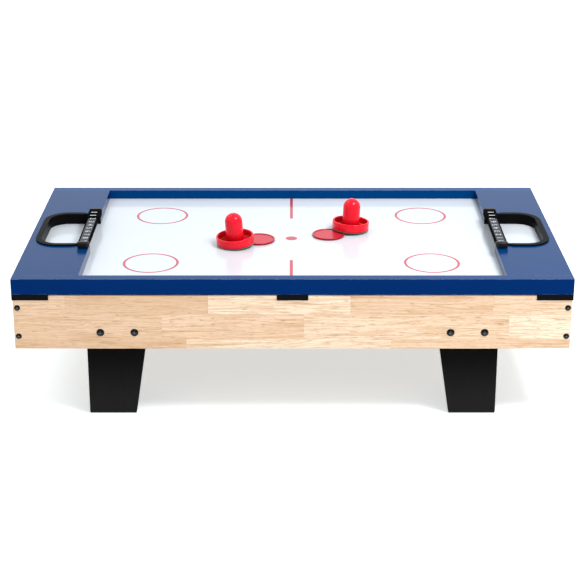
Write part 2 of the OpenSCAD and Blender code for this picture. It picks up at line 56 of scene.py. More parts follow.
# ---------- places taken from the frame ----------

RAIL_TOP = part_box("rail_front")[1].z
FIELD_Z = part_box("playfield_board")[1].z
FIELD_HALF_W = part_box("deck_right")[1].y
APRON_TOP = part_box("apron_front")[1].z


# ---------- materials ----------

class Graph:
    """A material's node tree with short calls for the nodes used here."""

    def __init__(self, name, roughness, **inputs):
        self.material = bpy.data.materials.new(name)
        self.material.use_nodes = True
        self.tree = self.material.node_tree
        self.shader = self.tree.nodes["Principled BSDF"]
        self.shader.inputs["Roughness"].default_value = roughness
        for key, value in inputs.items():
            self.shader.inputs[key.replace("_", " ")].default_value = value
        self.coords = self.node("ShaderNodeTexCoord").outputs["Object"]

    def node(self, kind, **settings):
        made = self.tree.nodes.new(kind)
        for key, value in settings.items():
            setattr(made, key, value)
        return made

    def put(self, socket, value):
        if isinstance(value, bpy.types.NodeSocket):
            self.tree.links.new(value, socket)
        else:
            socket.default_value = value

    def math(self, operation, *values):
        made = self.node("ShaderNodeMath", operation=operation)
        for socket, value in zip(made.inputs, values):
            self.put(socket, value)
        return made.outputs[0]

    def hypot(self, a, b):
        squares = [self.math("MULTIPLY", leg, leg) for leg in (a, b)]
        return self.math("SQRT", self.math("ADD", *squares))

    def axes(self, source=None):
        split = self.node("ShaderNodeSeparateXYZ")
        self.put(split.inputs[0], source or self.coords)
        return split.outputs

    def vector(self, x, y, z):
        made = self.node("ShaderNodeCombineXYZ")
        for socket, value in zip(made.inputs, (x, y, z)):
            self.put(socket, value)
        return made.outputs[0]

    def scaled(self, sx, sy, sz):
        made = self.node("ShaderNodeVectorMath", operation="MULTIPLY")
        self.put(made.inputs[0], self.coords)
        made.inputs[1].default_value = (sx, sy, sz)
        return made.outputs[0]

    def noise(self, scale, detail=3.0, rough=0.5, vector=None, distortion=0.0):
        made = self.node("ShaderNodeTexNoise")
        self.put(made.inputs["Vector"], vector or self.coords)
        made.inputs["Scale"].default_value = scale
        made.inputs["Detail"].default_value = detail
        made.inputs["Roughness"].default_value = rough
        made.inputs["Distortion"].default_value = distortion
        return made.outputs["Fac"]

    def ramp(self, value, *stops):
        made = self.node("ShaderNodeValToRGB")
        self.put(made.inputs[0], value)
        elements = made.color_ramp.elements
        while len(elements) < len(stops):
            elements.new(0.5)
        for element, (place, colour) in zip(elements, stops):
            element.position = place
            element.color = (*colour, 1.0)
        return made.outputs[0]

    def mix(self, factor, a, b):
        made = self.node("ShaderNodeMix", data_type="RGBA")
        self.put(made.inputs[0], factor)
        for socket, value in ((made.inputs[6], a), (made.inputs[7], b)):
            self.put(socket, (*value, 1.0) if isinstance(value, tuple) else value)
        return made.outputs[2]

    def spread(self, value, low, high):
        """value from 0..1 to low..high"""
        return self.math("MULTIPLY_ADD", value, high - low, low)

    def step(self, value, edge, width):
        """0 below edge, 1 above it, over a short soft width"""
        made = self.node("ShaderNodeMapRange", interpolation_type="SMOOTHSTEP")
        self.put(made.inputs["Value"], value)
        made.inputs["From Min"].default_value = edge - width / 2
        made.inputs["From Max"].default_value = edge + width / 2
        return made.outputs[0]

    def within(self, value, limit, width):
        """1 where value is under limit, over a short soft width"""
        return self.math("SUBTRACT", 1.0, self.step(value, limit, width))

    def colour(self, value):
        self.put(self.shader.inputs["Base Color"], value)

    def roughness(self, value):
        self.put(self.shader.inputs["Roughness"], value)

    def bump(self, height, distance, strength):
        made = self.node("ShaderNodeBump")
        made.inputs["Strength"].default_value = strength
        made.inputs["Distance"].default_value = distance
        self.put(made.inputs["Height"], height)
        self.put(self.shader.inputs["Normal"], made.outputs[0])

    def edge_wear(self, radius, amount):
        """1 in worn patches along edges; on the blue laminate the lighter colour there is partly wear,
        partly a painted edge highlight
        """
        rounded = self.node("ShaderNodeBevel", samples=4)
        rounded.inputs["Radius"].default_value = radius
        flat = self.node("ShaderNodeNewGeometry").outputs["Normal"]
        dot = self.node("ShaderNodeVectorMath", operation="DOT_PRODUCT")
        self.put(dot.inputs[0], rounded.outputs[0])
        self.put(dot.inputs[1], flat)
        turned = self.math("SUBTRACT", 1.0, dot.outputs["Value"])
        on_edge = self.step(turned, edge=0.12, width=0.2)
        patches = self.step(self.noise(90.0, detail=4.0, rough=0.7), edge=1.0 - amount, width=0.08)
        return self.math("MULTIPLY", on_edge, patches)


def blue_laminate():
    """Glossy blue laminate: the tops are painted lighter as lit copies of the skirt's blue, the rear
    rail lighter still as painted light bounced from the field.
    """
    skirt_blues = (0.0, 0.0115, 0.088), (0.0002, 0.0155, 0.108)
    lit_top_blues = (0.0, 0.030, 0.126), (0.0002, 0.036, 0.148)
    lit_rear_blue = (0.0, 0.044, 0.182)
    wear_and_highlight_blue = (0.12, 0.19, 0.36)
    g = Graph("blue_laminate", 0.2, IOR=1.26)
    g.shader.inputs["Specular Tint"].default_value = (0.05, 0.45, 1.0, 1.0)
    mottle = g.noise(6.0, detail=5.0, rough=0.62)
    normal = g.axes(g.node("ShaderNodeNewGeometry").outputs["Normal"])
    # Painted light: faces turned up and the rear rail take lighter copies of the blue, for how the
    # light falls on them.
    faces_up = g.step(normal[2], edge=0.5, width=0.4)
    past_field = g.step(g.axes()[1], edge=FIELD_HALF_W - 0.3 * MM, width=0.3 * MM)
    base = g.mix(faces_up, g.mix(mottle, *skirt_blues), g.mix(mottle, *lit_top_blues))
    base = g.mix(past_field, base, lit_rear_blue)
    # Lighter edges: partly wear, partly a painted highlight along the rail edges.
    g.colour(g.mix(g.edge_wear(radius=1.2 * MM, amount=0.5), base, wear_and_highlight_blue))
    g.roughness(g.spread(g.noise(60.0, detail=5.0, rough=0.65), 0.13, 0.24))
    g.bump(g.noise(900.0, detail=3.0, rough=0.6), distance=0.04 * MM, strength=0.3)
    return g.material


# The playfield's print: four rings, a centre dot, and a centre line made only near the long sides,
# from LINE_BEHIND to the back and from LINE_IN_FRONT to the front. All of it sits PRINT_LEFT of centre.
RING_X = 0.265
RING_Y = 0.140
RING_RADIUS = 0.0503
RING_LINE = 4.8 * MM
DOT_RADIUS = 11.5 * MM
LINE_HALF_W = 3.0 * MM
LINE_BEHIND = 0.122
LINE_IN_FRONT = 0.124
PRINT_LEFT = 2.2 * MM
PRINT_EDGE = 0.4 * MM


def playfield_print(g, x, y):
    """1 where the playfield is printed"""
    x = g.math("ADD", x, PRINT_LEFT)
    away_x = g.math("SUBTRACT", g.math("ABSOLUTE", x), RING_X)
    away_y = g.math("SUBTRACT", g.math("ABSOLUTE", y), RING_Y)
    from_ring = g.math("ABSOLUTE", g.math("SUBTRACT", g.hypot(away_x, away_y), RING_RADIUS))
    ring = g.within(from_ring, RING_LINE / 2, PRINT_EDGE)
    dot = g.within(g.hypot(x, y), DOT_RADIUS, PRINT_EDGE)
    in_line = g.within(g.math("ABSOLUTE", x), LINE_HALF_W, PRINT_EDGE)
    behind = g.step(y, LINE_BEHIND, PRINT_EDGE)
    in_front = g.within(y, -LINE_IN_FRONT, PRINT_EDGE)
    line = g.math("MULTIPLY", in_line, g.math("ADD", behind, in_front))
    return g.math("MINIMUM", 1.0, g.math("ADD", ring, g.math("ADD", dot, line)))


def white_laminate():
    """Glossy white face with its red print, over a brown core."""
    whites = (0.62, 0.655, 0.70), (0.66, 0.69, 0.73)
    ink_red = (0.50, 0.045, 0.075)
    core_browns = (0.36, 0.26, 0.17), (0.45, 0.33, 0.22)
    g = Graph("white_laminate", 0.12, IOR=1.52)
    x, y, z = g.axes()
    on_face = g.step(z, edge=FIELD_Z - 0.3 * MM, width=0.2 * MM)
    ink = g.math("MULTIPLY", playfield_print(g, x, y), on_face)
    thin_spots = g.step(g.noise(420.0, detail=3.0, rough=0.7), edge=0.3, width=0.2)
    ink = g.math("MULTIPLY", ink, g.spread(thin_spots, 0.86, 1.0))
    white = g.mix(g.noise(3.5, detail=5.0, rough=0.65), *whites)
    core = g.mix(g.noise(300.0), *core_browns)
    g.colour(g.mix(on_face, core, g.mix(ink, white, ink_red)))
    g.roughness(g.spread(g.noise(18.0, detail=5.0, rough=0.7), 0.10, 0.20))
    g.bump(g.noise(700.0, detail=2.0, rough=0.5), distance=0.03 * MM, strength=0.3)
    return g.material


WOOD_TAN = (0.615, 0.385, 0.232)
WOOD_MIDDLE = (0.755, 0.53, 0.365)
WOOD_CREAM = (0.88, 0.71, 0.54)
BLOTCH_BROWN = (0.66, 0.40, 0.22)
LATE_WOOD = (0.56, 0.31, 0.15)
STREAK_BROWN = (0.50, 0.29, 0.15)
PORE_BROWN = (0.36, 0.20, 0.10)
PAINTED_SKIRT_SHADE = (0.004, 0.003, 0.003)
RINGS_PER_FIELD = 17.0
STAVE_SHIFT = 7.0

# Rows of staves on the jointed boards: the row's lower edge below the board's top, the tone of
# its first stave, then where each later stave starts along the board and its tone. Tones run
# from 0, tan, to 1, cream.
STAVE_ROWS = (
    (0.038, 0.42, ((-0.412, 0.22), (-0.153, 0.85), (0.105, 0.40), (0.364, 0.66))),
    (0.087, 0.38, ((-0.238, 0.50), (0.021, 0.70), (0.394, 0.98))),
    (0.300, 0.18, ((-0.194, 0.90), (0.180, 0.48))),
)


def stave_field(g, run, down):
    """Row number, stave number, tone, and distance to the nearest joint line, at each point."""
    row, stave, tone, line = 0.0, 0.0, 0.0, 1.0
    above = 0.0
    for low, shade, joints in STAVE_ROWS:
        inside = g.math("COMPARE", down, (above + low) / 2, (low - above) / 2)
        outside = g.math("SUBTRACT", 1.0, inside)
        index, before = 0.0, shade
        for place, after in joints:
            past = g.math("GREATER_THAN", run, place)
            index = g.math("ADD", past, index)
            shade = g.math("MULTIPLY_ADD", past, after - before, shade)
            gap = g.math("ABSOLUTE", g.math("SUBTRACT", run, place))
            line = g.math("MINIMUM", g.math("ADD", gap, outside), line)
            before = after
        tone = g.math("MULTIPLY_ADD", inside, shade, tone)
        stave = g.math("MULTIPLY_ADD", inside, index, stave)
        row = g.math("MULTIPLY_ADD", inside, low * 100.0, row)
        line = g.math("MINIMUM", g.math("ABSOLUTE", g.math("SUBTRACT", down, low)), line)
        above = low
    return row, stave, tone, line


def stave_shift(g, stave, row, seed):
    """An offset of the grain that differs from stave to stave."""
    white = g.node("ShaderNodeTexWhiteNoise", noise_dimensions="3D")
    g.put(white.inputs["Vector"], g.vector(stave, row, seed))
    shift = g.node("ShaderNodeVectorMath", operation="SCALE")
    g.put(shift.inputs[0], white.outputs["Color"])
    shift.inputs["Scale"].default_value = STAVE_SHIFT
    return shift.outputs[0]


def grain(g, places, shift, fineness, detail, rough, distortion=0.0):
    """Noise stretched along the board; fineness is given along it, across it and upwards."""
    parts = [g.math("MULTIPLY", place, scale) for place, scale in zip(places, fineness)]
    moved = g.node("ShaderNodeVectorMath", operation="ADD")
    g.put(moved.inputs[0], g.vector(*parts))
    g.put(moved.inputs[1], shift)
    return g.noise(1.0, detail, rough, vector=moved.outputs[0], distortion=distortion)


def jointed_pine(name, along, seed, offset=0.0):
    """Finger-jointed boards: rows of staves, each stave with its own tone and run of grain, and a
    painted shadow along the top edge under the skirt.
    """
    g = Graph(name, 0.4, IOR=1.35)
    x, y, z = g.axes()
    run, across = (x, y) if along == "x" else (y, x)
    run = g.math("ADD", run, offset)
    down = g.math("SUBTRACT", APRON_TOP, z)
    row, stave, tone, to_line = stave_field(g, run, down)
    stave_grain = (run, across, z), stave_shift(g, stave, row, seed)

    # Growth rings are the contour lines of a smooth field stretched along the stave.
    field = grain(g, *stave_grain, (2.0, 26.0, 30.0), 2.0, 0.5, distortion=0.5)
    ring = g.math("FRACT", g.math("MULTIPLY", field, RINGS_PER_FIELD))
    late = g.math("MULTIPLY", g.step(ring, edge=0.58, width=0.4), g.within(ring, 0.94, 0.1))
    streaks = grain(g, *stave_grain, (9.0, 380.0, 430.0), 4.0, 0.65)
    dashes = grain(g, *stave_grain, (55.0, 600.0, 680.0), 2.0, 0.5)
    pores = grain(g, *stave_grain, (60.0, 1100.0, 1100.0), 3.0, 0.6)
    blotch = grain(g, *stave_grain, (8.0, 22.0, 22.0), 2.0, 0.5)
    # Where each layer shows, how strongly, and its colour.
    layers = (
        (g.step(blotch, edge=0.52, width=0.3), 0.2, BLOTCH_BROWN),
        (late, 0.40, LATE_WOOD),
        (g.step(streaks, edge=0.56, width=0.08), 0.55, STREAK_BROWN),
        (g.step(dashes, edge=0.64, width=0.05), 0.6, PORE_BROWN),
        (g.step(pores, edge=0.60, width=0.1), 0.35, PORE_BROWN),
        (g.within(to_line, 0.25 * MM, 0.4 * MM), 0.12, PORE_BROWN),
        # Painted shade: the top 1.4 mm of the board goes near black, the shadow of the gap under the
        # blue skirt.
        (g.within(down, 1.4 * MM, 1.2 * MM), 0.93, PAINTED_SKIRT_SHADE),
    )
    base = g.ramp(tone, (0.0, WOOD_TAN), (0.5, WOOD_MIDDLE), (1.0, WOOD_CREAM))
    for mask, strength, colour in layers:
        base = g.mix(g.math("MULTIPLY", mask, strength), base, colour)
    g.colour(base)
    g.roughness(g.spread(streaks, 0.32, 0.5))
    g.bump(g.math("MULTIPLY", g.math("ADD", pores, late), -0.4), distance=0.2 * MM, strength=0.4)
    return g.material


def pine_block():
    """Plain pine for the blocks inside the box."""
    g = Graph("pine_block", 0.6)
    fibre = g.noise(1.0, detail=6.0, rough=0.65, vector=g.scaled(10.0, 10.0, 200.0))
    g.colour(g.mix(fibre, (0.62, 0.42, 0.25), (0.80, 0.61, 0.42)))
    g.roughness(g.spread(fibre, 0.5, 0.75))
    g.bump(fibre, distance=0.2 * MM, strength=0.5)
    return g.material


def hardboard():
    """Brown flecked hardboard of the bottom panel."""
    g = Graph("hardboard", 0.55)
    flecks = g.noise(260.0, detail=5.0, rough=0.7)
    g.colour(g.mix(flecks, (0.20, 0.12, 0.065), (0.36, 0.235, 0.14)))
    g.roughness(g.spread(flecks, 0.42, 0.7))
    g.bump(g.noise(520.0, detail=4.0, rough=0.6), distance=0.15 * MM, strength=0.5)
    return g.material


def black_lacquer():
    """Satin lacquer over a board: faint grain runs up the leg, and a painted reflection of the floor
    lightens its foot.
    """
    lacquers = (0.0008, 0.0008, 0.001), (0.003, 0.003, 0.0032)
    floor_reflection_blacks = (0.011, 0.0105, 0.010), (0.016, 0.0155, 0.015)
    bare_wood = (0.10, 0.085, 0.07)
    g = Graph("black_lacquer", 0.4, IOR=1.08)
    fibre = g.noise(1.0, detail=5.0, rough=0.6, vector=g.scaled(240.0, 240.0, 9.0))
    # Painted reflection of the floor: the lacquer is lighter towards the foot.
    above_floor_reflection = g.step(g.axes()[2], edge=0.07, width=0.16)
    base = g.mix(above_floor_reflection, g.mix(fibre, *floor_reflection_blacks), g.mix(fibre, *lacquers))
    g.colour(g.mix(g.edge_wear(radius=1.2 * MM, amount=0.36), base, bare_wood))
    g.roughness(g.spread(g.noise(40.0, detail=4.0, rough=0.6), 0.32, 0.5))
    g.bump(fibre, distance=0.12 * MM, strength=0.5)
    return g.material


def moulded(name, dark, light, rough_low, rough_high, texture=1500.0, depth=0.04 * MM, ior=1.35):
    """Injection-moulded plastic: slight tone drift, fine spark texture, handling marks."""
    g = Graph(name, rough_low, IOR=ior)
    g.colour(g.mix(g.noise(22.0, detail=3.0, rough=0.5), dark, light))
    scuffs = g.noise(1.0, detail=5.0, rough=0.7, vector=g.scaled(55.0, 140.0, 80.0))
    g.roughness(g.spread(scuffs, rough_low, rough_high))
    g.bump(g.noise(texture, detail=2.0, rough=0.5), distance=depth, strength=0.5)
    return g.material


def handled_gloss(g, rough_low, rough_high):
    """Roughness and bump of a glossy moulding with upright handling marks."""
    marks = g.noise(1.0, detail=5.0, rough=0.7, vector=g.scaled(160.0, 160.0, 40.0))
    g.roughness(g.spread(marks, rough_low, rough_high))
    g.bump(g.noise(260.0, detail=2.0, rough=0.5), distance=0.03 * MM, strength=0.3)


def red_plastic():
    """Glossy red moulding, with painted shade darkening its hollows."""
    reds = (0.86, 0.006, 0.020), (0.95, 0.012, 0.032)
    painted_hollow_shade_red = (0.36, 0.0, 0.001)
    g = Graph("red_plastic", 0.16, IOR=1.36)
    g.shader.inputs["Specular Tint"].default_value = (1.0, 0.7, 0.75, 1.0)
    # Painted shade: ambient occlusion darkens the red in the dish and other hollows.
    hollow = g.node("ShaderNodeAmbientOcclusion", samples=8)
    hollow.inputs["Distance"].default_value = 22.0 * MM
    unshaded = g.step(hollow.outputs["AO"], edge=0.5, width=0.5)
    g.colour(g.mix(unshaded, painted_hollow_shade_red, g.mix(g.noise(30.0, detail=3.0, rough=0.5), *reds)))
    handled_gloss(g, 0.12, 0.24)
    return g.material


def puck_red(side):
    """The puck's red, with painted shade darkening it round the rim and where the rim drops to the
    face.
    """
    reds = (0.50, 0.010, 0.030), (0.57, 0.016, 0.040)
    painted_rim_shade_red = (0.34, 0.0, 0.008)
    low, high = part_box("puck_" + side)
    g = Graph("puck_red_" + side, 0.2, IOR=1.40)
    x, y, _ = g.axes()
    off_x = g.math("SUBTRACT", x, (low.x + high.x) / 2)
    off_y = g.math("SUBTRACT", y, (low.y + high.y) / 2)
    reach = g.hypot(off_x, off_y)
    radius = (high.x - low.x) / 2
    # Painted shade: the red darkens round the rim's edge and in a ring where the rim drops to the face.
    from_groove = g.math("ABSOLUTE", g.math("SUBTRACT", reach, radius - 3.6 * MM))
    painted_groove_shade = g.within(from_groove, 0.9 * MM, 0.8 * MM)
    outside = g.step(reach, edge=radius - 0.9 * MM, width=0.8 * MM)
    face = g.mix(g.noise(30.0, detail=3.0, rough=0.5), *reds)
    g.colour(g.mix(g.math("MAXIMUM", painted_groove_shade, outside), face, painted_rim_shade_red))
    handled_gloss(g, 0.16, 0.3)
    return g.material


def felt():
    """Short-pile dark green felt."""
    g = Graph("felt", 0.95, Sheen_Weight=0.6, Sheen_Roughness=0.5)
    tufts = g.noise(900.0, detail=5.0, rough=0.75)
    g.colour(g.mix(tufts, (0.012, 0.075, 0.035), (0.04, 0.17, 0.085)))
    g.roughness(g.spread(tufts, 0.85, 1.0))
    g.bump(tufts, distance=0.5 * MM, strength=0.8)
    return g.material


def zinc_steel():
    """Zinc plating with its fine spangle."""
    g = Graph("zinc_steel", 0.25, Metallic=1.0)
    spangle = g.noise(340.0, detail=4.0, rough=0.6)
    g.colour(g.mix(spangle, (0.50, 0.50, 0.50), (0.68, 0.68, 0.66)))
    g.roughness(g.spread(g.noise(120.0, detail=5.0, rough=0.7), 0.25, 0.42))
    g.bump(spangle, distance=0.03 * MM, strength=0.4)
    return g.material


def black_screws():
    """Glossy black screw heads, the coating worn through in the cross."""
    blacks = (0.0025, 0.0025, 0.0028), (0.006, 0.006, 0.0065)
    bare_steel = (0.20, 0.20, 0.21)
    g = Graph("black_steel", 0.06, IOR=1.25)
    hollow = g.node("ShaderNodeAmbientOcclusion", samples=8, only_local=True)
    hollow.inputs["Distance"].default_value = 2.5 * MM
    worn = g.within(hollow.outputs["AO"], 0.72, 0.25)
    g.colour(g.mix(worn, g.mix(g.noise(300.0, detail=3.0, rough=0.6), *blacks), bare_steel))
    g.roughness(g.spread(g.noise(400.0, detail=4.0, rough=0.6), 0.04, 0.12))
    g.bump(g.noise(800.0, detail=2.0, rough=0.5), distance=0.02 * MM, strength=0.3)
    return g.material


def rubber(name, rough):
    """Matt black rubber or vinyl."""
    g = Graph(name, rough)
    speckle = g.noise(600.0, detail=4.0, rough=0.7)
    g.colour(g.mix(speckle, (0.010, 0.010, 0.010), (0.026, 0.026, 0.027)))
    g.roughness(g.spread(speckle, rough - 0.1, rough + 0.1))
    g.bump(speckle, distance=0.12 * MM, strength=0.6)
    return g.material


def printed_white():
    """White print with small chips in it; the cursor's ridge tops also take it as painted highlights.
    """
    g = Graph("printed_white", 0.4)
    chips = g.noise(500.0, detail=4.0, rough=0.7)
    chipped = g.step(chips, edge=0.66, width=0.06)
    g.colour(g.mix(chipped, (0.70, 0.72, 0.75), (0.42, 0.43, 0.45)))
    g.roughness(g.spread(chips, 0.3, 0.5))
    return g.material


def end_cap_plastic():
    """Slightly warm black plastic of the score bars' end blocks."""
    g = Graph("end_cap_plastic", 0.15, IOR=1.25)
    drift = g.noise(60.0, detail=3.0, rough=0.6)
    g.colour(g.mix(drift, (0.010, 0.008, 0.009), (0.020, 0.016, 0.017)))
    g.roughness(g.spread(g.noise(180.0, detail=4.0, rough=0.7), 0.14, 0.32))
    g.bump(g.noise(900.0, detail=2.0, rough=0.5), distance=0.04 * MM, strength=0.4)
    return g.material


MATERIALS = {
    "blue_lacquer": blue_laminate(),
    "white_laminate": white_laminate(),
    "black_lacquer": black_lacquer(),
    "black_steel": black_screws(),
    "zinc_steel": zinc_steel(),
    "black_plastic": moulded("black_plastic", (0.0028, 0.0028, 0.003), (0.0055, 0.0055, 0.006),
                             0.25, 0.4, ior=1.09),
    "fan_plastic": moulded("fan_plastic", (0.016, 0.016, 0.017), (0.028, 0.028, 0.029),
                           0.4, 0.6, texture=900.0, depth=0.08 * MM),
    "hardboard": hardboard(),
    "rubber": rubber("rubber", 0.75),
    "lead_sleeve": rubber("lead_sleeve", 0.5),
    "rocker_red": moulded("rocker_red", (0.45, 0.006, 0.008), (0.56, 0.012, 0.015), 0.18, 0.3),
    "felt": felt(),
    "red_plastic": red_plastic(),
}
PINE_BLOCK = pine_block()
PINE = {
    "apron_front": jointed_pine("pine_front", "x", 3.0),
    "apron_rear": jointed_pine("pine_rear", "x", 11.0, 0.09),
    "apron_left": jointed_pine("pine_left", "y", 5.0, -0.12),
    "apron_right": jointed_pine("pine_right", "y", 8.0, 0.21),
}
PRINT_AND_HIGHLIGHT_WHITE = printed_white()
CAP_PLASTIC = end_cap_plastic()
BAR_BLACK = moulded("bar_black", (0.003, 0.003, 0.0032), (0.007, 0.007, 0.0075), 0.4, 0.6,
                    ior=1.01)
LABEL_STRIP = moulded("label_strip", (0.010, 0.012, 0.016), (0.018, 0.020, 0.026), 0.2, 0.34,
                      ior=1.28)


# ---------- finish of the CAD nodes ----------

WELD_DISTANCE = 0.004 * MM
FLAT_ANGLE = math.radians(0.4)
EDGE_ANGLE = math.radians(32.0)
EDGE_SEGMENTS = 2

# Width of the rounded edges in millimetres, by the start of the node's name.
EDGES = {
    "rail": 1.1, "deck": 0.8, "apron": 0.8, "leg": 1.2, "corner_clip": 0.5, "centre_clip": 0.5,
    "corner_block": 0.6, "bottom_panel": 0.3, "foot_pads": 0.4, "pocket_liner": 0.8,
    "leg_bolts": 0.25, "apron_screws": 0.2, "fan_frame": 0.5, "fan_guard": 0.5,
    "fan_rotor": 0.25, "switch_housing": 0.4, "switch_rocker": 0.4, "dc_inlet": 0.3,
}


def paint(obj, material):
    """One material over the whole node."""
    obj.data.materials.clear()
    obj.data.materials.append(material)
    for polygon in obj.data.polygons:
        polygon.material_index = 0


def soften(obj, width):
    """Rounds a CAD node's edges with modifiers, after joining its facets into whole faces."""
    custom = obj.data.attributes.get("custom_normal")
    if custom:
        obj.data.attributes.remove(custom)
    obj.data.polygons.foreach_set("use_smooth", [True] * len(obj.data.polygons))
    weld = obj.modifiers.new("weld", "WELD")
    weld.merge_threshold = WELD_DISTANCE
    faces = obj.modifiers.new("whole_faces", "DECIMATE")
    faces.decimate_type = "DISSOLVE"
    faces.angle_limit = FLAT_ANGLE
    bevel = obj.modifiers.new("edge", "BEVEL")
    bevel.width = width
    bevel.segments = EDGE_SEGMENTS
    bevel.limit_method = "ANGLE"
    bevel.angle_limit = EDGE_ANGLE
    bevel.miter_outer = "MITER_ARC"
    bevel.harden_normals = True
    bevel.use_clamp_overlap = True


for entry in frame["record"]["subparts"]:
    name, slot = entry["node"], entry["material_slot"]
    paint(nodes[name], PINE.get(name) or MATERIALS.get(slot) or PINE_BLOCK)

for name, node in nodes.items():
    starts = [start for start in EDGES if name.startswith(start)]
    if starts:
        soften(node, EDGES[max(starts, key=len)] * MM)


# ---------- mesh tools ----------

LATHE_STEPS = 128
LATHE_SHARP = 40.0
MESH_SHARP = 35.0
ON_AXIS = 1e-7


def link(name, data):
    """A new object in the scene."""
    obj = bpy.data.objects.new(name, data)
    bpy.context.scene.collection.objects.link(obj)
    return obj


def new_object(name, mesh, material, body, *stands_for, slot=None):
    """A piece that rides on a body, and may stand for CAD nodes, which it hides. The slot is not used.
    """
    obj = link(name, mesh)
    obj.data.materials.append(material)
    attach(obj, body)
    if stands_for:
        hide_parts(*stands_for)


def to_mesh(bm, name):
    """The finished mesh; bm is used up."""
    mesh = bpy.data.meshes.new(name)
    bm.to_mesh(mesh)
    bm.free()
    return mesh


def shade(mesh, sharp):
    """Smooth shading, with sharp edges where faces meet at more than this many degrees."""
    mesh.polygons.foreach_set("use_smooth", [True] * len(mesh.polygons))
    mesh.set_sharp_from_angle(angle=math.radians(sharp))
    return mesh


def arc(cx, cz, radius, start, end, steps):
    """Points along an arc of an outline; angles in degrees from the first axis to the second."""
    angles = [math.radians(start + (end - start) * i / steps) for i in range(steps + 1)]
    return [(cx + radius * math.cos(a), cz + radius * math.sin(a)) for a in angles]


def lathe_ring(bm, radius, height):
    """One ring of vertices, or a single pole on the axis."""
    if radius < ON_AXIS:
        return [bm.verts.new((0.0, 0.0, height))]
    angles = [2 * math.pi * k / LATHE_STEPS for k in range(LATHE_STEPS)]
    return [bm.verts.new((radius * math.cos(a), radius * math.sin(a), height)) for a in angles]


def lathe(name, profile, matrix):
    """Turns a closed profile of (radius, height) points round the matrix's z axis."""
    bm = bmesh.new()
    rings = [lathe_ring(bm, radius, height) for radius, height in profile]
    for lower, upper in zip(rings, rings[1:] + rings[:1]):
        if len(lower) == 1 and len(upper) == 1:
            continue
        for k in range(LATHE_STEPS):
            n = (k + 1) % LATHE_STEPS
            below = [lower[k % len(lower)], lower[n % len(lower)]]
            above = [upper[n % len(upper)], upper[k % len(upper)]]
            bm.faces.new(list(dict.fromkeys(below + above)))
    bmesh.ops.recalc_face_normals(bm, faces=bm.faces)
    bm.transform(matrix)
    return shade(to_mesh(bm, name), LATHE_SHARP)


def prism(bm, outline, low, high, along_y=False):
    """Adds a closed prism over an outline to bm, standing up in z or lying along y."""
    def at(u, v, w):
        return (u, w, v) if along_y else (u, v, w)
    base = [bm.verts.new(at(u, v, low)) for u, v in outline]
    top = [bm.verts.new(at(u, v, high)) for u, v in outline]
    bm.faces.new(base)
    bm.faces.new(top)
    for i in range(len(outline)):
        j = (i + 1) % len(outline)
        bm.faces.new((base[i], base[j], top[j], top[i]))


def bevelled(bm, name, bevel, segments, angle=30.0):
    """The mesh of bm with its edges over this angle, in degrees, rounded."""
    bmesh.ops.recalc_face_normals(bm, faces=bm.faces)
    limit = math.radians(angle)
    edges = [e for e in bm.edges if e.is_manifold and e.calc_face_angle(0.0) > limit]
    bmesh.ops.bevel(bm, geom=edges, offset=bevel, segments=segments, profile=0.5,
                    affect="EDGES", clamp_overlap=True)
    return shade(to_mesh(bm, name), MESH_SHARP)


# ---------- pushers and pucks ----------

PUSHER_HEIGHT = 63 * MM
PUSHER_CROWN = 2.5 * MM
PUSHER_HOLLOW = 14.5 * MM
PUSHER_FLOOR = 4.6 * MM
PUSHER_FOOT_EDGE = 1.2 * MM
RIM_TOP = 18 * MM
RIM_WALL = 3.5 * MM
RIM_FILLET = 2.6 * MM
KNOB_RADIUS = 17 * MM
KNOB_FILLET = 4.5 * MM
PAD_EDGE = 0.5 * MM
PAD_INSET = 0.1 * MM

# Corners that facets share are counted once, being equal to this many decimals.
SHARED_DIGITS = 7

PUCK_RIM = 3.2 * MM
PUCK_DIP = 1.1 * MM
PUCK_EDGE = 0.9 * MM
PUCK_SLOPE = 1.2 * MM
PUCK_FILLET = 0.6 * MM
PUCK_RIM_EDGE = 0.35 * MM
PUCK_RIM_STEP = 0.3 * MM


def disc_frame(node):
    """Matrix at the underside of a tipped flat ring, its radius and its thickness."""
    points = np.array([v.co for v in nodes[node].data.vertices], float)
    points = np.unique(points.round(SHARED_DIGITS), axis=0)
    centre = points.mean(0)
    axis = np.linalg.svd(points - centre)[2][2]
    axis = axis if axis[2] > 0 else -axis
    along = (points - centre) @ axis
    radius = np.linalg.norm((points - centre) - np.outer(along, axis), axis=1).max()
    turn = Vector(axis).to_track_quat("Z", "Y").to_matrix().to_4x4()
    base = Matrix.Translation(Vector(centre + axis * along.min())) @ turn
    return base, float(radius), float(along.max() - along.min())


def pusher_profile(radius, pad):
    """From the hollow's crown down, out under the body, over the rim and up the knob."""
    lip = RIM_WALL / 2
    knob_z = PUSHER_HEIGHT - KNOB_RADIUS
    points = [(0.0, PUSHER_HEIGHT - PUSHER_CROWN)]
    points += arc(0.0, knob_z, PUSHER_HOLLOW, 85, 0, 12)
    points += [(PUSHER_HOLLOW, pad)]
    points += arc(radius - PUSHER_FOOT_EDGE, pad + PUSHER_FOOT_EDGE, PUSHER_FOOT_EDGE, -90, 0, 4)
    points += arc(radius - lip, RIM_TOP - lip, lip, 0, 180, 10)
    points += arc(radius - RIM_WALL - RIM_FILLET, PUSHER_FLOOR + RIM_FILLET, RIM_FILLET, 0, -90, 6)
    points += arc(KNOB_RADIUS + KNOB_FILLET, PUSHER_FLOOR + KNOB_FILLET, KNOB_FILLET, 270, 180, 8)
    points += arc(0.0, knob_z, KNOB_RADIUS, 0, 85, 20)
    points += [(0.0, PUSHER_HEIGHT)]
    return points


